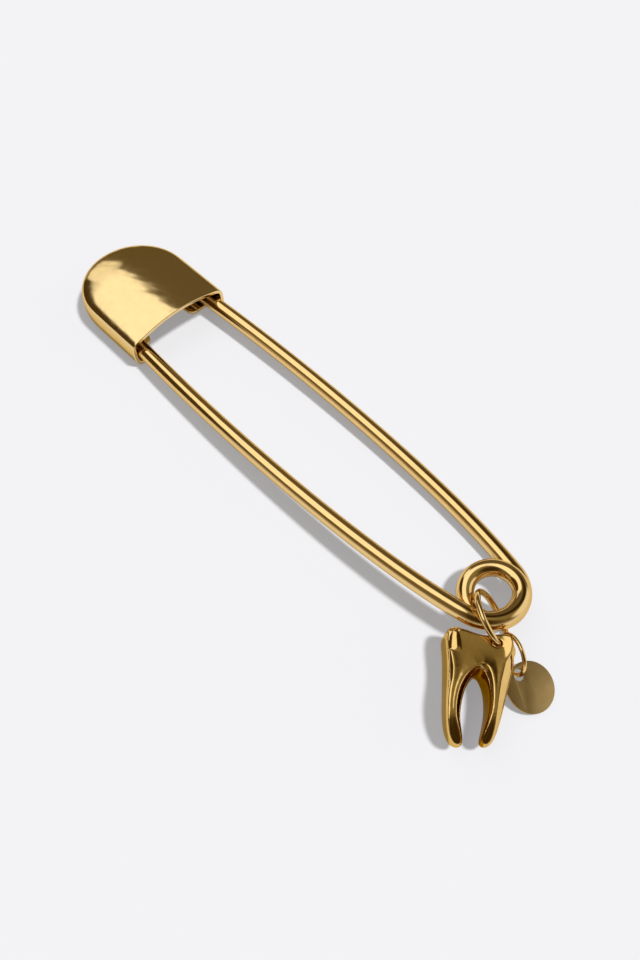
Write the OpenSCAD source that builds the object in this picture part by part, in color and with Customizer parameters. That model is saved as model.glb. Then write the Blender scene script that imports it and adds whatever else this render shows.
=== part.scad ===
// Safety pin brooch with a tooth charm and a small round tag, lying on its back.
// Millimetres, Z up. The origin is on the resting plane under the middle of the spring coil.
// The cap lies toward -X, and the charm hangs over the +X, -Y side of the coil.

/* [Wire] */
// Thickness of the pin wire
wire_d = 2.0; // [1.6:0.1:2.1]
// Widest distance between the middle of the arms, halfway along
arm_spread = 13.7; // [12:0.1:15]
// Gap between an arm and the cap's rolled side
arm_seat_gap = 0.1; // [0.06:0.02:0.2]
// Height of the wire's middle inside the cap
arm_rest_h = 2.2; // [2.1:0.05:2.5]

/* [Coil] */
// Middle radius of the spring coil
coil_r = 2.95; // [2.7:0.05:3.2]
// Gap between two turns that lie on each other
turn_gap = 0.12; // [0.08:0.02:0.3]
// Radius of the wider arcs that lead the wire out of the coil
lead_r = 4.2; // [3.8:0.1:4.6]
// Angle from +X at which a lead-out arc leaves the round turn
lead_angle = 20; // [10:1:30]
// Angle between an arm and the X axis where it leaves the coil
exit_angle = 13.9; // [10:0.1:18]
// Height of the wire's underside where the lower arm leaves the coil
coil_lift = 0.15; // [0.1:0.05:0.5]

/* [Cap] */
// Distance from the coil's middle to the cap's mouth
cap_mouth_x = 54.3; // [50:0.1:65]
// Length of the cap
cap_len = 16.9; // [16:0.1:20]
// Width of the cap over its rolled sides
cap_w = 15.4; // [15.2:0.1:16]
// Height of the crowned top over the surface
cap_h = 5.4; // [5.2:0.1:6.2]
// Height of the crowned top's edge where it turns down
cap_edge_h = 3.9; // [3.8:0.1:4.4]
// Thickness of the cap's sheet
sheet = 0.5; // [0.4:0.05:0.6]
// Width of the opening between the flanges at the back
back_gap = 6.6; // [5:0.1:8]
// How far the flanges are cut back from the mouth
flange_cutback = 2.2; // [1:0.1:3]

/* [Rings] */
// Wire of the charm's jump ring
charm_wire = 0.68; // [0.5:0.02:0.72]
// Middle radius of the charm's jump ring
charm_ring_r = 3.21; // [3.15:0.01:3.3]
// Wire of the tag's jump ring
tag_wire = 0.48; // [0.4:0.02:0.5]
// Middle radius of the tag's jump ring
tag_ring_r = 2.13; // [2.05:0.01:2.3]

/* [Tooth] */
// Length of the tooth from its higher cusp to the root tips
tooth_len = 11.4; // [10:0.1:12]
// Width of the crown
tooth_w = 7.3; // [6.8:0.1:7.4]
// Thickness of the crown from back to front
tooth_t = 4.4; // [4.2:0.1:4.6]
// Wire of the eyelet behind the crown's front lip
eyelet_wire = 0.54; // [0.4:0.02:0.56]

/* [Tag] */
// Diameter of the round tag
tag_d = 5.4; // [5:0.1:5.6]
// Thickness of the tag
tag_t = 0.4; // [0.3:0.05:0.45]
// Diameter of the hole in the tag
tag_hole_d = 1.24; // [1.2:0.02:1.4]
// Metal left between the hole and the tag's edge
tag_hole_edge = 0.36; // [0.3:0.02:0.5]

/* [Hidden] */

brass_gold = "#B08D3C";
pale_gold = "#A88C5A";

// The wire: shared values of the coil and both arms
wire_r = wire_d / 2;
pitch = wire_d + turn_gap;
first_turn = exit_angle - 90;
last_turn = 360 - first_turn;
coil_low_h = coil_lift + wire_r;
coil_high_h = coil_low_h + pitch * (last_turn - first_turn) / 360;
lead_shift = coil_r - lead_r;
arm_start = -(lead_shift * cos(lead_angle) + lead_r * cos(first_turn));
arm_start_y = -(lead_shift * sin(lead_angle) + lead_r * sin(first_turn));
arm_half = arm_spread / 2;
arm_widest_at = 31;
bow_run = cap_mouth_x - arm_widest_at;
arm_seat_half = cap_w / 2 - sheet - arm_seat_gap - wire_r;
bow_fade = 7.7;
split_angle = 4;
wire_sides = 16;
coil_step = 12;
arm_step = 3;

// Half the distance between the arms where they are x millimetres from the coil toward the cap,
// where they seat against its rolled sides
function bow(x) =
    arm_half - (arm_half - arm_seat_half) * pow((x - arm_widest_at) / bow_run, 2);
function arm_y(x) =
    bow(x) - (bow(arm_start) - arm_start_y) * exp(-(x - arm_start) / bow_fade);
// One point of the coil at a turning angle, with the round turn between two wider arcs
function lead_centre(side) = lead_shift * [cos(lead_angle), side * sin(lead_angle)];
function coil_xy(a) =
    a < lead_angle ? lead_centre(1) + lead_r * [cos(a), sin(a)]
    : a > 360 - lead_angle ? lead_centre(-1) + lead_r * [cos(a), sin(a)]
    : coil_r * [cos(a), sin(a)];
function coil_point(a) =
    concat(coil_xy(a), coil_high_h - pitch * (a - first_turn) / 360);
// One point of an arm; side is -1 for the needle and 1 for the fixed arm.
// The arms lie at one height from the cap's mouth on.
function arm_point(x, side, coil_h) =
    let (share = min(1, (x - arm_start) / (cap_mouth_x - arm_start)))
    [-x, side * arm_y(x), coil_h + (arm_rest_h - coil_h) * share];

// Rings of points across a route
function unit(v) = v / norm(v);
function heading(p, i) = unit(p[min(i + 1, len(p) - 1)] - p[max(i - 1, 0)]);
function across(h) = unit(cross([0, 0, 1], h));
function ring_points(p, i, r) =
    let (h = heading(p, i), s = across(h), t = cross(h, s))
    [for (k = [0:wire_sides - 1])
        p[i] + r * (cos(k * 360 / wire_sides) * s + sin(k * 360 / wire_sides) * t)];

// A closed skin over rings of points, all with as many points
module skin(rings) {
    n = len(rings[0]);
    count = len(rings);
    walls = [for (i = [0:count - 2], k = [0:n - 1])
        let (a = i * n + k, b = i * n + (k + 1) % n) each [[a, a + n, b + n], [a, b + n, b]]];
    first_end = [for (k = [0:n - 1]) k];
    last_end = [for (k = [n - 1:-1:0]) (count - 1) * n + k];
    polyhedron([for (ring = rings) each ring], concat(walls, [first_end], [last_end]),
        convexity = 8);
}
// A round wire along a route, with its own radius at every point
module swept_wire(p, radii) {
    skin([for (i = [0:len(p) - 1]) ring_points(p, i, radii[i])]);
}

// The cap: half of its section, as [distance from the middle, height] of the sheet's outer face
cap_end_x = cap_mouth_x + cap_len;
cap_half = cap_w / 2;
cap_round_x = cap_end_x - cap_half + 0.2;
roll_h = cap_edge_h / 2;
corner_r = 1.3;
crown_steps = 6;
arm_tip = cap_round_x + 2.4;
needle_tip = cap_round_x + 1.6;
point_len = 5;
point_r = 0.25;

module cap_skin(inset) {
    half = cap_half - inset;
    low = inset;
    high = cap_h - inset;
    shoulder = half - corner_r;
    crown = [for (i = [0:crown_steps])
        let (s = i / crown_steps)
        [s * shoulder, high - (cap_h - cap_edge_h - corner_r / 4) * s * s]];
    polygon(concat([[0, low]], crown, [
        [half - corner_r * 0.45, cap_edge_h - inset],
        [half - corner_r * 0.12, cap_edge_h - inset - corner_r * 0.45],
        [half, roll_h + corner_r * 0.4],
        [half, roll_h - corner_r * 0.3],
        [half - corner_r * 0.15, roll_h - corner_r * 0.85],
        [half - corner_r * 0.5, low + corner_r * 0.12],
        [half - corner_r * 0.9, low]]));
}

// Straight part and round end of one section
module cap_body(section_inset, mouth_over) {
    translate([-cap_round_x, 0, 0]) {
        for (side = [0, 1])
            mirror([0, side, 0]) rotate([90, 0, 90])
                linear_extrude(height = cap_round_x - cap_mouth_x + mouth_over)
                    cap_skin(section_inset);
        rotate([0, 0, 90]) rotate_extrude(angle = 180, $fn = 96) cap_skin(section_inset);
    }
}

module cap() {
    color(brass_gold) difference() {
        cap_body(0, 0);
        cap_body(sheet, 1);
        translate([-cap_round_x, 0, -sheet])
            cylinder(h = 3 * sheet, d = back_gap, $fn = 64);
        translate([-cap_round_x, -back_gap / 2, -sheet])
            cube([cap_len, back_gap, 3 * sheet]);
        translate([-cap_mouth_x - flange_cutback, -(cap_half - corner_r), -sheet])
            cube([cap_len, cap_w - 2 * corner_r, 3 * sheet]);
    }
}

module fixed_arm() {
    coil = [for (a = [first_turn + split_angle:coil_step:last_turn - 1]) coil_point(a)];
    arm = [for (x = [arm_start:arm_step:arm_tip]) arm_point(x, 1, coil_low_h)];
    route = concat(coil, arm, [arm_point(arm_tip, 1, coil_low_h)]);
    color(brass_gold) swept_wire(route, [for (p = route) wire_r]);
}

module needle() {
    shank = [for (x = [arm_start:arm_step:needle_tip - point_len])
        arm_point(x, -1, coil_high_h)];
    tip = [for (s = [0:0.25:1])
        arm_point(needle_tip - point_len * (1 - s), -1, coil_high_h)];
    route = concat(shank, tip);
    radii = concat([for (p = shank) wire_r], [for (s = [0:0.25:1]) wire_r - (wire_r - point_r) * s]);
    color(brass_gold) swept_wire(route, radii);
}

// A jump ring: its middle, the direction it points along the surface and how far it leans
function ring_u(az) = [cos(az), sin(az), 0];
function ring_v(az, lean) = [-sin(lean) * sin(az), sin(lean) * cos(az), cos(lean)];
function on_ring(centre, r, az, lean, a) =
    centre + r * (cos(a) * ring_u(az) + sin(a) * ring_v(az, lean));
module jump_ring(centre, r, wire, az, lean) {
    translate(centre) rotate([90 - lean, 0, az])
        rotate_extrude($fn = 128) translate([r, 0]) circle(d = wire, $fn = 48);
}

// Poses of the rings: chosen by eye from the photo, and resting on the surface
charm_az = -30.5;
charm_lean = -33.1;
charm_side = -51.6;
charm_reach = coil_r + 0.247;
charm_centre = [charm_reach * cos(charm_side), charm_reach * sin(charm_side),
    charm_wire / 2 + charm_ring_r * cos(charm_lean)];
tag_az = -25.7;
tag_lean = 9.1;
tag_offset = [3.865, -1.19];
tag_centre = [charm_centre[0] + tag_offset[0], charm_centre[1] + tag_offset[1],
    tag_wire / 2 + tag_ring_r * cos(tag_lean)];

module charm_ring() {
    color(brass_gold) jump_ring(charm_centre, charm_ring_r, charm_wire, charm_az, charm_lean);
}

module tag_ring() {
    color(brass_gold) jump_ring(tag_centre, tag_ring_r, tag_wire, tag_az, tag_lean);
}

// The tag lies with its hole raised on the ring: tilt and the direction from hole to middle
tag_tilt = 18.2;
tag_hang = 2.5;
hole_reach = tag_d / 2 - tag_hole_edge - tag_hole_d / 2;
disc_h = tag_t / 2 * cos(tag_tilt) + tag_d / 2 * sin(tag_tilt);
hole_h = disc_h + hole_reach * sin(tag_tilt);
hole_at = -asin((tag_centre[2] - hole_h) / (tag_ring_r * cos(tag_lean)));
hole_point = on_ring(tag_centre, tag_ring_r, tag_az, tag_lean, hole_at);

module tag_disc() {
    color(pale_gold) translate(hole_point) rotate([0, 0, tag_hang]) rotate([0, tag_tilt, 0])
        difference() {
            translate([hole_reach, 0, 0]) cylinder(h = tag_t, d = tag_d, center = true, $fn = 96);
            cylinder(h = 2 * tag_t, d = tag_hole_d, center = true, $fn = 48);
        }
}

// The tooth, in a frame turned so that its roots point along -Y.
// Its place follows the far end of the charm's ring.
hang_turn = 46.24;
ring_end = on_ring(charm_centre, charm_ring_r, charm_az, charm_lean, 0);
ring_end_x = ring_end[0] * cos(hang_turn) + ring_end[1] * sin(hang_turn);
ring_end_y = ring_end[1] * cos(hang_turn) - ring_end[0] * sin(hang_turn);
crown_x = ring_end_x - 2.6;
cusp_y = ring_end_y + 1.9;
tooth_sides = 28;
// Crown sections: [distance from the cusp, middle] as shares of the length and the width,
// then width and thickness as shares of the crown's own
crown_rows = [
    [0, -0.37, 0.14, 0.5], [0.02, -0.33, 0.25, 0.75], [0.05, -0.25, 0.44, 0.86],
    [0.08, -0.01, 0.93, 0.94], [0.14, 0, 0.985, 1], [0.23, -0.012, 0.98, 1],
    [0.316, -0.033, 0.963, 1], [0.385, -0.052, 0.945, 0.985]];
// Root sections: distance, middle of the left root, middle of the right root, width, thickness
root_rows = [
    [0.34, -0.285, 0.185, 0.45, 0.96], [0.404, -0.301, 0.171, 0.44, 0.96],
    [0.491, -0.373, 0.188, 0.334, 0.93], [0.579, -0.411, 0.167, 0.277, 0.87],
    [0.667, -0.442, 0.133, 0.236, 0.79], [0.754, -0.466, 0.095, 0.206, 0.71],
    [0.842, -0.479, 0.048, 0.182, 0.62], [0.93, -0.466, -0.011, 0.158, 0.54],
    [0.975, -0.448, -0.045, 0.135, 0.46], [1, -0.435, -0.068, 0.08, 0.3]];
back_slope = 0.5;
root_share = 0.4;
crown_square = 3.6;
root_square = 2.6;

function power(v, n) = sign(v) * pow(abs(v), 2 / n);
// One ring of points across the tooth: a rounded rectangle whose corners follow the power n
// Its right side slopes in toward the back by back_slope.
function tooth_ring(y, x, width, thick, n, back_slope) =
    [for (k = [0:tooth_sides - 1])
        let (a = k * 360 / tooth_sides, z = (tooth_t + thick * power(sin(a), n)) / 2,
            slope = back_slope * max(0, cos(a)) * (1 - z / tooth_t))
        [x + width / 2 * power(cos(a), n) - slope, y, z]];
function crown_ring(row) =
    tooth_ring(cusp_y - row[0] * tooth_len, crown_x + row[1] * tooth_w,
        row[2] * tooth_w, row[3] * tooth_t, crown_square, back_slope);
function root_ring(row, side) =
    tooth_ring(cusp_y - row[0] * tooth_len, crown_x + row[side] * tooth_w,
        row[3] * tooth_w, row[4] * tooth_t, root_square, side == 2 ? back_slope * root_share : 0);
lip_t = 0.75;
back_t = 0.55;
basin_depth = 1.75;
basin_w = 5;
basin_left = 2.2;
ring_clearance = 0.12;
lip_angle = 24;
notch_in = 0.05;
notch_len = 2.4;
eyelet_r = 0.95;
eyelet_x = ring_end_x + 0.05;
eyelet_gap = 0.08;
eyelet_y = ring_end_y + charm_wire / 2 + eyelet_gap + eyelet_wire / 2 - eyelet_r;
basin_h = tooth_t - lip_t - back_t;

module crown_and_roots() {
    skin([for (row = crown_rows) crown_ring(row)]);
    for (side = [1, 2])
        skin([for (row = root_rows) root_ring(row, side)]);
}

module tooth() {
    color(brass_gold) {
        difference() {
            rotate([0, 0, hang_turn]) difference() {
                crown_and_roots();
                translate([eyelet_x - basin_left, cusp_y - 0.9 - basin_depth, back_t])
                    cube([basin_w, basin_depth + 2, basin_h]);
            }
            translate(charm_centre) rotate([90 - charm_lean, 0, charm_az]) rotate([0, 0, lip_angle])
                translate([charm_ring_r - notch_in, 0, 0]) rotate([-90, 0, 0])
                    cylinder(h = notch_len, d = charm_wire + 2 * ring_clearance, center = true, $fn = 24);
        }
        rotate([0, 0, hang_turn]) translate([eyelet_x, eyelet_y, ring_end[2]])
            rotate_extrude($fn = 64) translate([eyelet_r, 0]) circle(d = eyelet_wire, $fn = 32);
    }
}

cap();
fixed_arm();
needle();
charm_ring();
tooth();
tag_ring();
tag_disc();
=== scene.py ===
# A large safety pin brooch in polished gold plate, with a tooth charm and a small round tag
# on jump rings, lying on a pale table. Metres, in the CAD's frame: the cap lies toward -X.

import math

import bmesh
import bpy
from mathutils import Matrix, Vector
from mathutils.kdtree import KDTree


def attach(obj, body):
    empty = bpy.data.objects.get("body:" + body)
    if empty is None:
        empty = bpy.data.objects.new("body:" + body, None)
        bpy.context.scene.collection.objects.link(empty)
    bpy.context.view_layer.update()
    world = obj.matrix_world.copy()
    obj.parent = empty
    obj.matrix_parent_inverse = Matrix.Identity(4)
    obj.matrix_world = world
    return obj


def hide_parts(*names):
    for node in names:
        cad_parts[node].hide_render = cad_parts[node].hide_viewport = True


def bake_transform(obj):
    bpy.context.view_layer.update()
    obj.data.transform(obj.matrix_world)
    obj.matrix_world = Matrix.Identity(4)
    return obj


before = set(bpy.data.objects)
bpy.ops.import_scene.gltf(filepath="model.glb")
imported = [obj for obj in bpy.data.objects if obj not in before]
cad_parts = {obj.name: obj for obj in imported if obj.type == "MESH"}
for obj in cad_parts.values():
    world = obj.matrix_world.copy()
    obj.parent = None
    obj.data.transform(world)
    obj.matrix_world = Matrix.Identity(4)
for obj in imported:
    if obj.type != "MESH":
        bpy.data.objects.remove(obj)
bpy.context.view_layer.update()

# The camera looks steeply down on the pin, which lies across the picture from the cap at the
# upper left to the coil at the lower right. "Across" and "away" are the picture's own directions.
MM = 0.001
PICTURE_TURN = math.radians(46.24)
CAMERA_TILT = math.radians(31.5)
CAMERA_ROLL = math.radians(-0.2)
CAMERA_PLACE = (0.01144, -0.03688, 0.08147)
camera_data = bpy.data.cameras.new("camera")
camera_data.sensor_fit = "VERTICAL"
camera_data.sensor_height = 36
camera_data.lens = 29.26
camera_data.clip_start = 0.01
camera = bpy.data.objects.new("camera", camera_data)
bpy.context.scene.collection.objects.link(camera)
camera.matrix_world = (
    Matrix.Translation(CAMERA_PLACE)
    @ Matrix.Rotation(PICTURE_TURN, 4, "Z")
    @ Matrix.Rotation(CAMERA_TILT, 4, "X")
    @ Matrix.Rotation(CAMERA_ROLL, 4, "Z")
)
bpy.context.scene.camera = camera
bpy.context.scene.view_settings.view_transform = "Standard"


def in_frame(across, away, up):
    """Turns a direction of the picture into the pin's frame."""
    return Matrix.Rotation(PICTURE_TURN, 3, "Z") @ Vector((across, away, up)).normalized()


# The table top: a matt card. It also gives off a little even light, in place of the bright room
# above it, so that the ground stays nearly white and the lamp's soft grey shadows show.
TABLE_REACH = 2
TABLE_DROP = 0.00001
CARD_COLOUR = "#7E7E80"
CARD_GLOW = "#F5F5F8"


def linear(hex_colour):
    """A linear RGBA colour from an sRGB hex one."""
    shares = [int(hex_colour[i : i + 2], 16) / 255 for i in (1, 3, 5)]
    return [s / 12.92 if s <= 0.04045 else ((s + 0.055) / 1.055) ** 2.4 for s in shares] + [1]


def add_node(tree, kind, settings=None, **links):
    """Adds a node to a tree. Settings go to the node or its sockets; links name an input socket
    and give the node and the socket that feed it."""
    node = tree.nodes.new(kind)
    for name, value in (settings or {}).items():
        if hasattr(node, name):
            setattr(node, name, value)
        else:
            node.inputs[name].default_value = value
    for name, (source, socket) in links.items():
        tree.links.new(source.outputs[socket], node.inputs[name.replace("_", " ")])
    return node


def new_material(name):
    """An empty material with its output and a Principled shader."""
    material = bpy.data.materials.new(name)
    material.use_nodes = True
    return material, material.node_tree, material.node_tree.nodes["Principled BSDF"]


bm = bmesh.new()
bmesh.ops.create_grid(bm, x_segments=1, y_segments=1, size=TABLE_REACH)
table_mesh = bpy.data.meshes.new("table_top")
bm.to_mesh(table_mesh)
bm.free()
table = bpy.data.objects.new("table_top", table_mesh)
bpy.context.scene.collection.objects.link(table)
table.location = (0, 0, -TABLE_DROP)
card, tree, shader = new_material("matt_white_card")
shader.inputs["Base Color"].default_value = linear(CARD_COLOUR)
shader.inputs["Roughness"].default_value = 0.9
shader.inputs["Specular IOR Level"].default_value = 0.0
shader.inputs["Emission Color"].default_value = linear(CARD_GLOW)
shader.inputs["Emission Strength"].default_value = 0.31
table_mesh.materials.append(card)

# Light: the room is pale near the table and a dim warm brown above, and the metal mirrors it with
# the round patches in it. A lamp from the right throws the shadows, and an even fill from above
# softens them. Neither lamp shows in the metal.
world = bpy.data.worlds.new("room")
bpy.context.scene.world = world
world.use_nodes = True
tree = world.node_tree
place = add_node(tree, "ShaderNodeTexCoord")
height = add_node(tree, "ShaderNodeSeparateXYZ", Vector=(place, "Generated"))
room = add_node(tree, "ShaderNodeValToRGB", Fac=(height, "Z"))
room.color_ramp.elements[0].position = 0.06
room.color_ramp.elements[0].color = (0.5, 0.49, 0.49, 1)
room.color_ramp.elements[1].position = 0.42
room.color_ramp.elements[1].color = (0.15, 0.102, 0.035, 1)
overhead = room.color_ramp.elements.new(0.95)
overhead.color = (0.27, 0.232, 0.13, 1)


def add_patch(behind, toward_it, reach, softness, glow):
    """A round patch in the room: its direction, half its width and the width of its soft edge
    in degrees, and its colour. What is behind it shows elsewhere."""
    facing = add_node(
        tree, "ShaderNodeVectorMath", {"operation": "DOT_PRODUCT"}, Vector=(place, "Generated")
    )
    facing.inputs[1].default_value = toward_it
    edge = add_node(
        tree, "ShaderNodeMapRange", {"interpolation_type": "SMOOTHSTEP"}, Value=(facing, "Value")
    )
    edge.inputs["From Min"].default_value = math.cos(math.radians(reach + softness / 2))
    edge.inputs["From Max"].default_value = math.cos(math.radians(reach - softness / 2))
    mix = add_node(tree, "ShaderNodeMix", {"data_type": "RGBA"})
    tree.links.new(edge.outputs["Result"], mix.inputs[0])
    tree.links.new(behind, mix.inputs[6])
    mix.inputs[7].default_value = (*glow, 1)
    return mix.outputs[2]


# Each patch has its direction in the picture (across, away, up), half its width and its soft edge
# in degrees, and its colour. The pale ones are diffusers and windows, the dark ones are the dim
# sides of the room and what stands over the table.
PATCHES = [
    ((0.15, 1, 0.1), 48, 20, (0.14, 0.11, 0.06)),
    ((0.9, 0.05, 0.32), 26, 12, (0.95, 0.95, 0.95)),
    ((0.45, 0.47, 0.76), 15, 12, (0.035, 0.02, 0.005)),
    ((0.05, -0.65, 0.75), 26, 30, (0.05, 0.03, 0.01)),
    ((-0.5, 0.6, 0.62), 13, 6, (1.2, 1.2, 1.2)),
    ((-0.52, 0.76, 0.38), 9, 6, (1.1, 1.1, 1.1)),
    ((-0.42, 0.25, 0.87), 29, 4, (1.3, 1.3, 1.3)),
    ((-0.9, 0.32, 0.29), 28, 4, (0.07, 0.042, 0.012)),
]
lit = room.outputs["Color"]
for toward_it, reach, softness, glow in PATCHES:
    lit = add_patch(lit, in_frame(*toward_it), reach, softness, glow)
tree.links.new(lit, tree.nodes["Background"].inputs["Color"])


def add_sun(name, toward_light, strength, spread):
    """A lamp too far away to see, which lights the table but isn't mirrored in the metal. Its
    strength is in watts a square metre and its spread in degrees."""
    data = bpy.data.lights.new(name, "SUN")
    data.energy = strength
    data.angle = math.radians(spread)
    lamp = bpy.data.objects.new(name, data)
    bpy.context.scene.collection.objects.link(lamp)
    lamp.rotation_euler = toward_light.to_track_quat("Z", "Y").to_euler()
    lamp.visible_glossy = False


add_sun("lamp_right", in_frame(0.47, -0.12, 1), strength=8.2, spread=8)
add_sun("fill_above", in_frame(0, 0, 1), strength=0.5, spread=170)

# The pin: one length of hard round wire, coiled one and a half turns into a spring and plated
# bright gold. The lower end of the coil runs into the fixed arm, the upper end into the needle,
# whose point is ground to a taper. Both lead out of the coil in a wider arc and bow outward.
# Lengths are in millimetres, and places are from the coil's axis.
WIRE_R = 1.0
COIL_R = 2.95
PITCH = 2.12
LEAD_R = 4.2
LEAD_ANGLE = math.radians(20)
LEAD_FADE = 7.7
FIRST_TURN = math.radians(13.9 - 90)
LAST_TURN = math.tau - FIRST_TURN
COIL_LOW = 1.15
COIL_HIGH = COIL_LOW + PITCH * (LAST_TURN - FIRST_TURN) / math.tau
LEAD_SHIFT = COIL_R - LEAD_R
ARM_START = -(LEAD_SHIFT * math.cos(LEAD_ANGLE) + LEAD_R * math.cos(FIRST_TURN))
ARM_START_Y = -(LEAD_SHIFT * math.sin(LEAD_ANGLE) + LEAD_R * math.sin(FIRST_TURN))
BOW_WIDEST = 6.85
BOW_WIDEST_AT = 31
BOW_NARROWING = 0.75
BOW_REACH = 23.3
CAP_MOUTH = 54.3
CAP_TIP = 71.2
CAP_HALF = 7.7
CAP_ROUND = CAP_TIP - CAP_HALF + 0.2
ARM_REST = 2.2
ARM_TIP = CAP_ROUND + 2.4
NEEDLE_TIP = CAP_ROUND + 1.6


def bow(x):
    """Half the distance between the arms at x millimetres from the coil, without the lead-out."""
    return BOW_WIDEST - BOW_NARROWING * ((x - BOW_WIDEST_AT) / BOW_REACH) ** 2


def arm_point(x, side, coil_height):
    """One point of an arm; side is -1 for the needle and 1 for the fixed arm."""
    away = bow(x) - (bow(ARM_START) - ARM_START_Y) * math.exp((ARM_START - x) / LEAD_FADE)
    share = min(1, (x - ARM_START) / (CAP_MOUTH - ARM_START))
    return Vector((-x, side * away, coil_height + (ARM_REST - coil_height) * share))


def coil_point(angle):
    """One point of the coil: a round turn between two wider arcs, falling steadily."""
    x, y, radius = 0, 0, COIL_R
    if not LEAD_ANGLE <= angle <= math.tau - LEAD_ANGLE:
        side = 1 if angle < LEAD_ANGLE else -1
        x, y = LEAD_SHIFT * math.cos(LEAD_ANGLE), side * LEAD_SHIFT * math.sin(LEAD_ANGLE)
        radius = LEAD_R
    fall = PITCH * (angle - FIRST_TURN) / math.tau
    return Vector((x + radius * math.cos(angle), y + radius * math.sin(angle), COIL_HIGH - fall))


def bent_wire(name, route, radius, narrowing=None):
    """A round wire along a route of points in millimetres, as a mesh with closed ends."""
    curve = bpy.data.curves.new(name, "CURVE")
    curve.dimensions = "3D"
    curve.bevel_depth = radius * MM
    curve.bevel_resolution = 7
    curve.use_fill_caps = True
    line = curve.splines.new("POLY")
    line.points.add(len(route) - 1)
    for i, (point, at) in enumerate(zip(line.points, route)):
        point.co = (*(at * MM), 1)
        point.radius = narrowing[i] if narrowing else 1
    line.use_smooth = True
    helper = bpy.data.objects.new(name, curve)
    mesh = bpy.data.meshes.new_from_object(helper)
    mesh.name = name
    bpy.data.objects.remove(helper)
    bpy.data.curves.remove(curve)
    bm = bmesh.new()
    bm.from_mesh(mesh)
    bmesh.ops.remove_doubles(bm, verts=bm.verts, dist=1e-7)
    bmesh.ops.recalc_face_normals(bm, faces=bm.faces)
    return finished(name, bm, mesh)


def finished(name, bm, mesh=None):
    """Turns a bmesh into a smooth object of the scene."""
    mesh = mesh or bpy.data.meshes.new(name)
    for face in bm.faces:
        face.smooth = True
    bm.to_mesh(mesh)
    bm.free()
    piece = bpy.data.objects.new(name, mesh)
    bpy.context.scene.collection.objects.link(piece)
    return piece


TAPER = 5.0
TAPER_START = NEEDLE_TIP - TAPER
NEEDLE_STEPS = 60
TAPER_STEPS = 24
ARM_STEPS = 62
TURN_STEP = math.radians(3)
TURN_STEPS = int((LAST_TURN - FIRST_TURN) / TURN_STEP)
needle_steps = [
    ARM_START + i * (TAPER_START - ARM_START) / NEEDLE_STEPS for i in range(NEEDLE_STEPS)
]
taper_steps = [TAPER_START + TAPER * i / TAPER_STEPS for i in range(TAPER_STEPS + 1)]
coil_steps = [FIRST_TURN + TURN_STEP * i for i in range(1, TURN_STEPS + 1)]
arm_steps = [ARM_START + i * (ARM_TIP - ARM_START) / ARM_STEPS for i in range(ARM_STEPS + 1)]
route = [arm_point(x, -1, COIL_HIGH) for x in reversed(needle_steps + taper_steps)]
route += [coil_point(angle) for angle in coil_steps]
route += [arm_point(x, 1, COIL_LOW) for x in arm_steps]

# The ground point: the route starts at it, and the wire is full again a little before the taper's
# end, so that the ground part runs into the round part without a line.
POINT_SHARE = 0.04
TAPER_FULLNESS = 1.1
TAPER_CURVE = 0.75
narrowing = [1.0] * len(route)
for i in range(TAPER_STEPS + 1):
    narrowing[i] = min(1, POINT_SHARE + TAPER_FULLNESS * (i / TAPER_STEPS) ** TAPER_CURVE)
pin_wire = bent_wire("pin_wire", route, WIRE_R, narrowing)
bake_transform(pin_wire)
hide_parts("fixed_arm", "needle")


# Polished gold plating over brass or steel, which mirrors the room. Polishing leaves slow waves
# about 4 mm wide, which make the reflections waver, and handling leaves patches of about 1 mm that
# are a little duller and darker. The drawing lines are 0.2 mm wide, as real ones are too fine to show.
EVEN = (1, 1, 1)
GLANCING_GOLD = "#E9D09E"
WAVE_SCALE = 260
WAVE_TURN = math.radians(26)
STREAK_SCALE = 5200
STREAK_DEPTH = 0.0035
STREAK_STRENGTH = 0.35
PATCH_SCALE = 900
DULLER = 1.7
DARKER = 0.86


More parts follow.
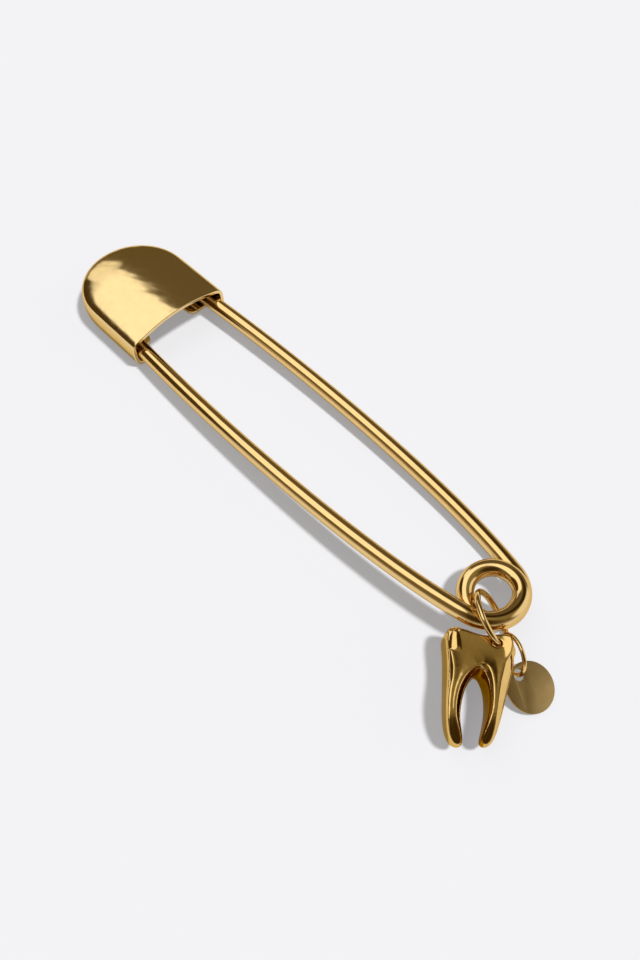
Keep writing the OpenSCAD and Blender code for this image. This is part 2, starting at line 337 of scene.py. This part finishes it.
def gold_plate(name, hex_colour, roughness, unevenness, streak_stretch=EVEN, wave_stretch=EVEN):
    """Gold plating. Unevenness is the height of its waves in millimetres; the stretches draw out
    its streaks and its waves."""
    material, tree, shader = new_material(name)
    shader.inputs["Metallic"].default_value = 1.0
    shader.inputs["Specular Tint"].default_value = linear(GLANCING_GOLD)
    place = add_node(tree, "ShaderNodeTexCoord")
    drawn = add_node(
        tree,
        "ShaderNodeMapping",
        {"vector_type": "TEXTURE", "Rotation": (0, 0, WAVE_TURN), "Scale": wave_stretch},
        Vector=(place, "Object"),
    )
    slow = add_node(
        tree, "ShaderNodeTexNoise", {"Scale": WAVE_SCALE, "Detail": 1}, Vector=(drawn, "Vector")
    )
    stretched = add_node(
        tree, "ShaderNodeMapping", {"Scale": streak_stretch}, Vector=(place, "Object")
    )
    fine = add_node(
        tree,
        "ShaderNodeTexNoise",
        {"Scale": STREAK_SCALE, "Detail": 2},
        Vector=(stretched, "Vector"),
    )
    handled = add_node(
        tree, "ShaderNodeTexNoise", {"Scale": PATCH_SCALE, "Detail": 4}, Vector=(place, "Object")
    )
    dull = add_node(tree, "ShaderNodeMapRange", Value=(handled, "Fac"))
    dull.inputs["From Min"].default_value = 0.35
    dull.inputs["From Max"].default_value = 0.75
    dull.inputs["To Min"].default_value = roughness
    dull.inputs["To Max"].default_value = roughness * DULLER
    tree.links.new(dull.outputs["Result"], shader.inputs["Roughness"])
    tone = add_node(tree, "ShaderNodeMix", {"data_type": "RGBA"})
    tree.links.new(handled.outputs["Fac"], tone.inputs[0])
    tone.inputs[6].default_value = linear(hex_colour)
    tone.inputs[7].default_value = [c * DARKER for c in linear(hex_colour)[:3]] + [1]
    tree.links.new(tone.outputs[2], shader.inputs["Base Color"])
    waves = add_node(
        tree, "ShaderNodeBump", {"Strength": 1.0, "Distance": unevenness * MM}, Height=(slow, "Fac")
    )
    streaks = add_node(
        tree,
        "ShaderNodeBump",
        {"Strength": STREAK_STRENGTH, "Distance": STREAK_DEPTH * MM},
        Height=(fine, "Fac"),
        Normal=(waves, "Normal"),
    )
    tree.links.new(streaks.outputs["Normal"], shader.inputs["Normal"])
    return material


pin_gold = gold_plate(
    "gold_plate_polished", "#F3CF8C", roughness=0.08, unevenness=0.02, streak_stretch=(0.06, 1, 1)
)
pin_wire.data.materials.append(pin_gold)

# The cap: a guard stamped from half-millimetre sheet. Its crowned top turns down over a tight
# shoulder, rolls under at the sides and round the closed end, and leaves a slot at the back.
# Its profile goes from the slot's edge out and up to the middle of the top.
SHEET = 0.5
CAP_HIGH = 5.4
CROWN_DROP = 1.175
FLANGE_IN = 3.3
SHOULDER = CAP_HALF - 1.1
section = [(FLANGE_IN, 0), (4.6, 0), (CAP_HALF - 1.25, 0)]
section += [(CAP_HALF - 0.6, 0.12), (CAP_HALF - 0.15, 0.65), (CAP_HALF, 1.4), (CAP_HALF, 2.6)]
section += [(CAP_HALF - 0.08, 3.45), (CAP_HALF - 0.4, 3.98), (SHOULDER, 4.3)]
section += [
    (share * SHOULDER, CAP_HIGH - CROWN_DROP * share**2) for share in (0.8, 0.6, 0.4, 0.2, 0)
]

# The profile is turned half round the closed end, and its two ends are drawn out to the mouth.
CUTBACK = 2.2
WALL_STEP = 2.4
MOUTH_BAND = 0.5
WALL_REST = CAP_ROUND - CAP_MOUTH - 2 * WALL_STEP - CUTBACK
bm = bmesh.new()
rim = [bm.verts.new((-CAP_ROUND * MM, -out * MM, up * MM)) for out, up in section]
chain = [bm.edges.new(pair) for pair in zip(rim, rim[1:])]
turned = bmesh.ops.spin(
    bm,
    geom=rim + chain,
    cent=(-CAP_ROUND * MM, 0, 0),
    axis=(0, 0, -1),
    angle=math.pi,
    steps=16,
    use_merge=False,
)
far_chain = [g for g in turned["geom_last"] if isinstance(g, bmesh.types.BMEdge)]
for side_chain in (chain, far_chain):
    open_chain = side_chain
    for reach in (WALL_STEP, WALL_STEP, WALL_REST, CUTBACK - MOUTH_BAND, MOUTH_BAND):
        grown = bmesh.ops.extrude_edge_only(bm, edges=open_chain)["geom"]
        moved = [g for g in grown if isinstance(g, bmesh.types.BMVert)]
        bmesh.ops.translate(bm, verts=moved, vec=(reach * MM, 0, 0))
        open_chain = [g for g in grown if isinstance(g, bmesh.types.BMEdge)]
        open_chain = [e for e in open_chain if abs(e.verts[0].co.x - e.verts[1].co.x) < 1e-7]
bmesh.ops.remove_doubles(bm, verts=bm.verts, dist=1e-6)

# The flanges at the back are cut back from the mouth, and their corners are rounded.
FLANGE_CORNER = 1.1
cut_from = -(CAP_MOUTH + CUTBACK) * MM
flanges = [
    f
    for f in bm.faces
    if f.calc_center_median().x > cut_from and f.calc_center_median().z < 0.04 * MM
]
bmesh.ops.delete(bm, geom=flanges, context="FACES")
corners = [
    v
    for v in bm.verts
    if abs(v.co.x - cut_from) < 1e-6 and abs(abs(v.co.y) - FLANGE_IN * MM) < 1e-6
]
bmesh.ops.bevel(
    bm,
    geom=corners,
    affect="VERTICES",
    offset=FLANGE_CORNER * MM,
    segments=4,
    profile=0.5,
    material=-1,
)
bmesh.ops.recalc_face_normals(bm, faces=bm.faces)
if max(bm.faces, key=lambda f: f.calc_center_median().z).normal.z < 0:
    bmesh.ops.reverse_faces(bm, faces=bm.faces)
cap = finished("stamped_cap", bm)
wall = cap.modifiers.new("sheet", "SOLIDIFY")
wall.thickness = SHEET * MM
wall.offset = -1
wall.use_even_offset = True
edge_round = cap.modifiers.new("deburred_edge", "BEVEL")
edge_round.width = 0.1 * MM
edge_round.segments = 2
edge_round.limit_method = "ANGLE"
edge_round.angle_limit = math.radians(50)
surface = cap.modifiers.new("surface", "SUBSURF")
surface.levels = 3
surface.render_levels = 3
cap_gold = gold_plate(
    "gold_plate_stamped",
    "#F5D698",
    roughness=0.1,
    unevenness=0.06,
    streak_stretch=(1, 0.3, 1),
    wave_stretch=(1.6, 0.45, 1),
)
cap.data.materials.append(cap_gold)
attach(cap, "pin")
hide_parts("cap")


# The jump rings: short lengths of round wire bent closed, so each shows a fine seam where its
# ends meet. The thicker one holds the tooth in the spring coil, the finer one holds the tag.
SEAM_HALF = math.radians(0.6)
RING_STEPS = 120


def ring_route(centre, radius, turn, lean, seam):
    """Points of a ring: how far it is turned about the vertical, how far it leans, and where
    its seam is."""
    along = Vector((math.cos(turn), math.sin(turn), 0))
    up = Vector((-math.sin(lean) * math.sin(turn), math.sin(lean) * math.cos(turn), math.cos(lean)))
    bent = math.tau - 2 * SEAM_HALF
    angles = [seam + SEAM_HALF + bent * i / RING_STEPS for i in range(RING_STEPS + 1)]
    return [centre + radius * (math.cos(a) * along + math.sin(a) * up) for a in angles]


CHARM_WIRE = 0.68
CHARM_RING_R = 3.21
CHARM_PAST_COIL = 0.247
charm_turn, charm_lean = math.radians(-30.5), math.radians(-33.1)
charm_side, charm_reach = math.radians(-51.6), COIL_R + CHARM_PAST_COIL
charm_centre = Vector(
    (
        charm_reach * math.cos(charm_side),
        charm_reach * math.sin(charm_side),
        CHARM_WIRE / 2 + CHARM_RING_R * math.cos(charm_lean),
    )
)
charm_path = (charm_centre, CHARM_RING_R, charm_turn, charm_lean)
charm_route = ring_route(*charm_path, seam=math.radians(-60))
charm_ring = bent_wire("charm_jump_ring", charm_route, CHARM_WIRE / 2)
charm_ring.data.materials.append(pin_gold)
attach(charm_ring, "pin")
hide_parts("charm_ring")

TAG_WIRE = 0.48
TAG_RING_R = 2.13
TAG_BEYOND_CHARM = 3.865
TAG_BESIDE_CHARM = -1.19
tag_turn, tag_lean = math.radians(-25.7), math.radians(9.1)
tag_centre = Vector(
    (
        charm_centre.x + TAG_BEYOND_CHARM,
        charm_centre.y + TAG_BESIDE_CHARM,
        TAG_WIRE / 2 + TAG_RING_R * math.cos(tag_lean),
    )
)
tag_route = ring_route(tag_centre, TAG_RING_R, tag_turn, tag_lean, seam=math.radians(200))
tag_ring = bent_wire("tag_jump_ring", tag_route, TAG_WIRE / 2)
tag_ring.data.materials.append(pin_gold)
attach(tag_ring, "pin")
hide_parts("tag_ring")


# The tooth charm: one casting with a crown and two roots that thin out toward their tips, tumbled
# smooth and plated. A basin behind the crown's front lip holds a cast eyelet, and the charm's ring
# reaches it through a notch in the lip.
# Each row is one place round the outline, in the picture's directions: across and away where the
# tooth is widest, then across and away on the edge of its front face.
TOOTH_OUTLINE = [
    (-5.75, -4.25, -5.0, -4.62), (-5.98, -5.2, -5.33, -5.4), (-5.93, -6.5, -5.51, -6.44),
    (-6.0, -7.5, -5.36, -7.5), (-6.12, -8.7, -5.27, -8.65), (-6.22, -9.8, -5.46, -9.78),
    (-6.3, -10.7, -5.8, -10.7), (-6.43, -11.9, -6.06, -11.8), (-6.5, -13.0, -6.2, -13.0),
    (-6.53, -14.1, -6.24, -14.05), (-6.4, -15.2, -6.15, -15.15), (-6.05, -15.95, -5.85, -15.85),
    (-5.4, -16.25, -5.35, -16.1), (-4.75, -16.0, -4.95, -15.85), (-4.85, -14.9, -5.1, -14.85),
    (-4.95, -13.6, -5.42, -13.6), (-4.75, -12.5, -5.36, -12.5), (-4.4, -11.3, -5.12, -11.4),
    (-3.95, -10.3, -4.72, -10.4), (-3.45, -9.6, -4.2, -9.6), (-3.05, -9.2, -3.6, -8.98),
    (-2.8, -8.95, -2.84, -8.45), (-2.6, -8.95, -2.12, -8.35), (-2.4, -9.3, -1.65, -8.7),
    (-2.2, -9.9, -1.48, -9.4), (-2.08, -10.6, -1.44, -10.4), (-2.1, -11.8, -1.58, -11.8),
    (-2.32, -13.1, -1.88, -13.2), (-2.76, -14.4, -2.38, -14.4), (-3.15, -15.4, -2.9, -15.35),
    (-3.22, -16.0, -3.0, -15.85), (-2.7, -16.3, -2.6, -16.15), (-1.85, -15.9, -2.05, -15.7),
    (-1.2, -14.5, -1.6, -14.3), (-0.65, -13.1, -1.25, -13.0), (-0.15, -11.7, -0.95, -11.6),
    (0.4, -10.3, -0.6, -10.2), (0.82, -9.2, -0.24, -9.2), (1.12, -8.2, 0.12, -8.15),
    (1.27, -7.3, 0.72, -7.35), (1.36, -6.6, 1.0, -6.6), (1.38, -5.75, 1.08, -5.8),
    (1.15, -5.1, 0.85, -5.3), (0.0, -4.97, -0.12, -5.27), (-0.96, -5.08, -0.96, -5.38),
    (-1.59, -5.1, -1.59, -5.43), (-2.21, -4.98, -2.21, -5.37), (-2.9, -4.72, -2.9, -5.05),
    (-3.75, -4.38, -3.75, -4.7), (-4.95, -3.98, -4.55, -4.5),
]
TOOTH_FRONT = 4.4
EDGE_BREAK = 0.1
BLANK_BACK = 0.9
BACK_ROUNDING = (0.22, 0.65)
SKIN = 0.08
ROOT_MIDDLE = 2.4
THINS_FROM = -11.9
THINS_OVER = 4.2
THINS_BY = 0.68
THINS_CURVE = 2.2


def in_picture(point):
    """Turns a point or direction of the pin's frame into the picture's directions."""
    return Matrix.Rotation(-PICTURE_TURN, 3, "Z") @ point


def bake(piece):
    """Applies a piece's modifiers to its mesh."""
    bpy.context.view_layer.update()
    shaped = piece.evaluated_get(bpy.context.evaluated_depsgraph_get())
    mesh = bpy.data.meshes.new_from_object(shaped)
    piece.modifiers.clear()
    piece.data = mesh


def picture_bmesh_to_frame(bm):
    """Turns a bmesh in millimetres and the picture's directions into the frame's metres."""
    turn = Matrix.Rotation(PICTURE_TURN, 4, "Z")
    bmesh.ops.transform(bm, matrix=Matrix.Scale(MM, 4) @ turn, verts=bm.verts)


def raised(bm, face, heights, shares):
    """Extrudes the outline. Walls that face left and walls that face right each have their own
    height, and their share of the way from the widest outline to the front face's edge."""
    grown = bmesh.ops.extrude_face_region(bm, geom=[face])["geom"]
    top = next(g for g in grown if isinstance(g, bmesh.types.BMFace))
    for vert, row in zip(top.verts, TOOTH_OUTLINE):
        side = 0 if row[2] > row[0] else 1
        share = shares[side]
        vert.co.x = row[0] + share * (row[2] - row[0])
        vert.co.y = row[1] + share * (row[3] - row[1])
        vert.co.z = heights[side]
    return top


def thickness_share(away):
    """How thick the tooth is at a place along it: the roots thin out toward their tips."""
    return 1 - THINS_BY * max(0, (THINS_FROM - away) / THINS_OVER) ** THINS_CURVE


# The blank: the wall goes up from the widest outline in three steps, the left and the right wall
# each with its own lean, to a front face with a broken edge.
bm = bmesh.new()
back = bm.faces.new([bm.verts.new((row[0], row[1], BLANK_BACK)) for row in TOOTH_OUTLINE])
belly = raised(bm, back, heights=(3.1, 3.1), shares=(0.3, 0.0))
edge = raised(bm, belly, heights=(4.03, 3.75), shares=(0.38, 0.08))
front = raised(bm, edge, heights=(TOOTH_FRONT - EDGE_BREAK,) * 2, shares=(1, 1))
bmesh.ops.delete(bm, geom=[belly, edge], context="FACES_ONLY")
front.normal_update()
bmesh.ops.inset_region(
    bm, faces=[front], thickness=EDGE_BREAK, depth=EDGE_BREAK, use_even_offset=True
)
back.normal_update()
bmesh.ops.inset_region(
    bm,
    faces=[back],
    thickness=BACK_ROUNDING[0],
    depth=BACK_ROUNDING[1],
    use_even_offset=True,
)
bmesh.ops.recalc_face_normals(bm, faces=bm.faces)
for vert in bm.verts:
    vert.co.z = ROOT_MIDDLE + (vert.co.z - ROOT_MIDDLE) * thickness_share(vert.co.y)
bmesh.ops.triangulate(bm, faces=[f for f in bm.faces if len(f.verts) > 4])
picture_bmesh_to_frame(bm)
rough_tooth = finished("tooth_blank", bm)
softened = rough_tooth.modifiers.new("softened", "SUBSURF")
softened.levels = 2
softened.render_levels = 2
bake(rough_tooth)
first_skin = rough_tooth.modifiers.new("even_skin", "REMESH")
first_skin.mode = "VOXEL"
first_skin.voxel_size = SKIN * MM
bake(rough_tooth)


# What is cut out of the blank: the basin behind the lip, open to the right and away for the rings,
# and the notch where the charm's ring crosses the lip.
LIP = 0.75
BACK = 0.55
BASIN_CORNER = (-1.85, -7.05)
PAST_TOOTH = (3, -4)
NOTCH_R = 0.46
NOTCH_LENGTH = 2.4
LIP_ANGLE = math.radians(24)
PAST_LIP_ANGLE = math.radians(27)


def cutting_box(lowest, highest):
    """A box between two corners, in the picture's directions."""
    bm = bmesh.new()
    size = [high - low for low, high in zip(lowest, highest)]
    bmesh.ops.create_cube(bm, size=1)
    bmesh.ops.scale(bm, verts=bm.verts, vec=size)
    middle = [(low + high) / 2 for low, high in zip(lowest, highest)]
    bmesh.ops.translate(bm, verts=bm.verts, vec=middle)
    picture_bmesh_to_frame(bm)
    return finished("cutter", bm)


def cut(blank, cutter):
    """Takes one shape out of another, and the cutter off the scene."""
    step = blank.modifiers.new("cut", "BOOLEAN")
    step.operation = "DIFFERENCE"
    step.solver = "MANIFOLD"
    step.object = cutter
    bake(blank)
    bpy.data.objects.remove(cutter)


cut(rough_tooth, cutting_box((*BASIN_CORNER, BACK), (*PAST_TOOTH, TOOTH_FRONT - LIP)))
lip_crossing = ring_route(*charm_path, seam=LIP_ANGLE)[0]
along_ring = ring_route(*charm_path, seam=PAST_LIP_ANGLE)[0] - lip_crossing
notch_turn = along_ring.to_track_quat("Z", "Y").to_matrix().to_4x4()
bm = bmesh.new()
bmesh.ops.create_cone(
    bm,
    cap_ends=True,
    segments=24,
    radius1=NOTCH_R,
    radius2=NOTCH_R,
    depth=NOTCH_LENGTH,
    matrix=Matrix.Translation(lip_crossing) @ notch_turn,
)
bmesh.ops.scale(bm, verts=bm.verts, vec=(MM, MM, MM))
cut(rough_tooth, finished("cutter", bm))

# The eyelet in the basin, round the far end of the charm's ring. One skin over it and the blank
# then makes them a single casting, which is smoothed as tumbling does.
EYELET_WIRE_R = 0.27
EYELET_R = 0.95
EYELET_GAP = 0.08
EYELET_ASIDE = 0.05
far_end = in_picture(ring_route(*charm_path, seam=0)[0])
eyelet_away = far_end.y + CHARM_WIRE / 2 + EYELET_GAP + EYELET_WIRE_R - EYELET_R
bm = bmesh.new()
circle = bmesh.ops.create_circle(bm, segments=16, radius=EYELET_WIRE_R)["verts"]
bmesh.ops.rotate(bm, verts=circle, matrix=Matrix.Rotation(math.pi / 2, 3, "X"))
bmesh.ops.translate(bm, verts=circle, vec=(EYELET_R, 0, 0))
bmesh.ops.spin(
    bm,
    geom=bm.verts[:] + bm.edges[:],
    cent=(0, 0, 0),
    axis=(0, 0, 1),
    angle=math.tau,
    steps=48,
    use_merge=True,
)
bmesh.ops.translate(bm, verts=bm.verts, vec=(far_end.x + EYELET_ASIDE, eyelet_away, far_end.z))
bmesh.ops.remove_doubles(bm, verts=bm.verts, dist=1e-5)
bmesh.ops.recalc_face_normals(bm, faces=bm.faces)
picture_bmesh_to_frame(bm)
bm.from_mesh(rough_tooth.data)
bpy.data.objects.remove(rough_tooth)
tooth = finished("tooth_charm", bm)
one_skin = tooth.modifiers.new("one_skin", "REMESH")
one_skin.mode = "VOXEL"
one_skin.voxel_size = SKIN * MM
worn = tooth.modifiers.new("worn", "SMOOTH")
worn.factor = 0.5
worn.iterations = 8
bake(tooth)

# The front is dished: it sinks a little inside a raised rim. At the upper left corner of the crown
# it rounds off toward the edge instead, and at the upper right it rises toward the edge.
DISH = 0.13
RIM = 0.4
FRONT_DEPTH = 0.9
EDGE_STEPS = 20
CORNER_RIGHT = -4.3
CORNER_NEAR = -7.0
CORNER_BLEND = 0.4
CORNER_FALL = 0.1
CORNER_REACH = 1.1
RISE = 0.13
RISE_LEFT = -0.1
RISE_NEAR = -8.6
RISE_BLEND = 0.8


def blended(past, width):
    """Goes from 0 to 1 over a width, past a line."""
    return min(1, max(0, past / width))


front_points = [Vector((*row[2:], 0)) for row in TOOTH_OUTLINE]
front_edge = KDTree(EDGE_STEPS * len(front_points))
for i, (a, b) in enumerate(zip(front_points, front_points[1:] + front_points[:1])):
    for step in range(EDGE_STEPS):
        front_edge.insert(a.lerp(b, step / EDGE_STEPS), i * EDGE_STEPS + step)
front_edge.balance()
facing_up = [vert for vert in tooth.data.vertices if vert.normal.z > 0.5]
for vert in facing_up:
    spot = in_picture(vert.co) / MM
    front_height = ROOT_MIDDLE + (TOOTH_FRONT - ROOT_MIDDLE) * thickness_share(spot.y)
    if spot.z > front_height - FRONT_DEPTH:
        reach = front_edge.find((spot.x, spot.y, 0))[2]
        dish = DISH * (1 - math.exp(-reach / RIM))
        corner = blended(spot.y - CORNER_NEAR, CORNER_BLEND)
        corner *= blended(CORNER_RIGHT - spot.x, CORNER_BLEND)
        fall = CORNER_FALL * max(0, 1 - reach / CORNER_REACH) ** 2
        rise = RISE * max(0, spot.x - RISE_LEFT) ** 2 * blended(spot.y - RISE_NEAR, RISE_BLEND)
        vert.co.z += (rise - dish - corner * (fall + DISH - 2 * dish)) * MM
tooth.data.shade_smooth()
tooth_gold = gold_plate("gold_plate_cast", "#EBC47A", roughness=0.08, unevenness=0.02)
tooth.data.materials.append(tooth_gold)

# Between the roots the gold sees only itself and looks a deep brown. The faces of the two inner
# walls and of the arch over them have a darker, browner gold for it: painted shade and painted
# reflection.
FORK_NEAR = -8.2
FORK_FRONT = 3.9
LEFT_WALL_RIGHT = -2.6
RIGHT_WALL_LEFT, RIGHT_WALL_RIGHT = -3.4, 0.4
ARCH_LEFT, ARCH_RIGHT = -4.4, -1.2
ARCH_NEAR = -10.5
INWARD = 0.35
fork_painted_shade = gold_plate("gold_plate_fork_painted_shade", "#A8701F", roughness=0.14, unevenness=0.02)
tooth.data.materials.append(fork_painted_shade)
# Painted shade: the faces that face into the fork take the darker gold.
for face in tooth.data.polygons:
    spot = in_picture(face.center) / MM
    facing = in_picture(face.normal)
    left_wall = spot.x < LEFT_WALL_RIGHT and facing.x > INWARD
    right_wall = RIGHT_WALL_LEFT < spot.x < RIGHT_WALL_RIGHT and facing.x < -INWARD
    arch = ARCH_LEFT < spot.x < ARCH_RIGHT and facing.y < -INWARD and spot.y > ARCH_NEAR
    if spot.y < FORK_NEAR and spot.z < FORK_FRONT and (left_wall or right_wall or arch):
        face.material_index = 1
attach(tooth, "pin")
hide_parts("tooth")


# The tag: a small blank disc punched from thin sheet, its edges broken and its faces brushed to
# a satin that spreads the light and keeps the reflections soft.
bm = bmesh.new()
bm.from_mesh(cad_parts["tag_disc"].data)
bmesh.ops.remove_doubles(bm, verts=bm.verts, dist=1e-6)
bmesh.ops.dissolve_limit(bm, angle_limit=math.radians(1), verts=bm.verts, edges=bm.edges)
tag = finished("round_tag", bm)
broken_edge = tag.modifiers.new("broken_edge", "BEVEL")
broken_edge.width = 0.07 * MM
broken_edge.segments = 3
broken_edge.limit_method = "ANGLE"
broken_edge.angle_limit = math.radians(40)
broken_edge.harden_normals = True

# Its brushed lines are about 0.15 mm apart, as real ones are too fine to show, and run across
# clouds of about 1.5 mm where the plating is a little darker.
BRUSHED_ALONG = (1, 0.06, 1)
BRUSHED_TURN = math.radians(20)
LINE_SCALE = 7000
LINE_DEPTH = 0.012
CLOUD_SCALE = 700
satin, tree, shader = new_material("gold_plate_satin")
shader.inputs["Metallic"].default_value = 1.0
place = add_node(tree, "ShaderNodeTexCoord")
brushed = add_node(
    tree,
    "ShaderNodeMapping",
    {"Scale": BRUSHED_ALONG, "Rotation": (0, 0, BRUSHED_TURN)},
    Vector=(place, "Object"),
)
lines = add_node(
    tree, "ShaderNodeTexNoise", {"Scale": LINE_SCALE, "Detail": 3}, Vector=(brushed, "Vector")
)
clouds = add_node(
    tree, "ShaderNodeTexNoise", {"Scale": CLOUD_SCALE, "Detail": 4}, Vector=(place, "Object")
)
tone = add_node(tree, "ShaderNodeMix", {"data_type": "RGBA"})
tree.links.new(clouds.outputs["Fac"], tone.inputs[0])
tone.inputs[6].default_value = linear("#C6AB76")
tone.inputs[7].default_value = linear("#B3935B")
tree.links.new(tone.outputs[2], shader.inputs["Base Color"])
rough = add_node(tree, "ShaderNodeMapRange", Value=(lines, "Fac"))
rough.inputs["To Min"].default_value = 0.3
rough.inputs["To Max"].default_value = 0.5
tree.links.new(rough.outputs["Result"], shader.inputs["Roughness"])
bump = add_node(
    tree, "ShaderNodeBump", {"Strength": 0.5, "Distance": LINE_DEPTH * MM}, Height=(lines, "Fac")
)
tree.links.new(bump.outputs["Normal"], shader.inputs["Normal"])
tag.data.materials.append(satin)
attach(tag, "pin")
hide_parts("tag_disc")
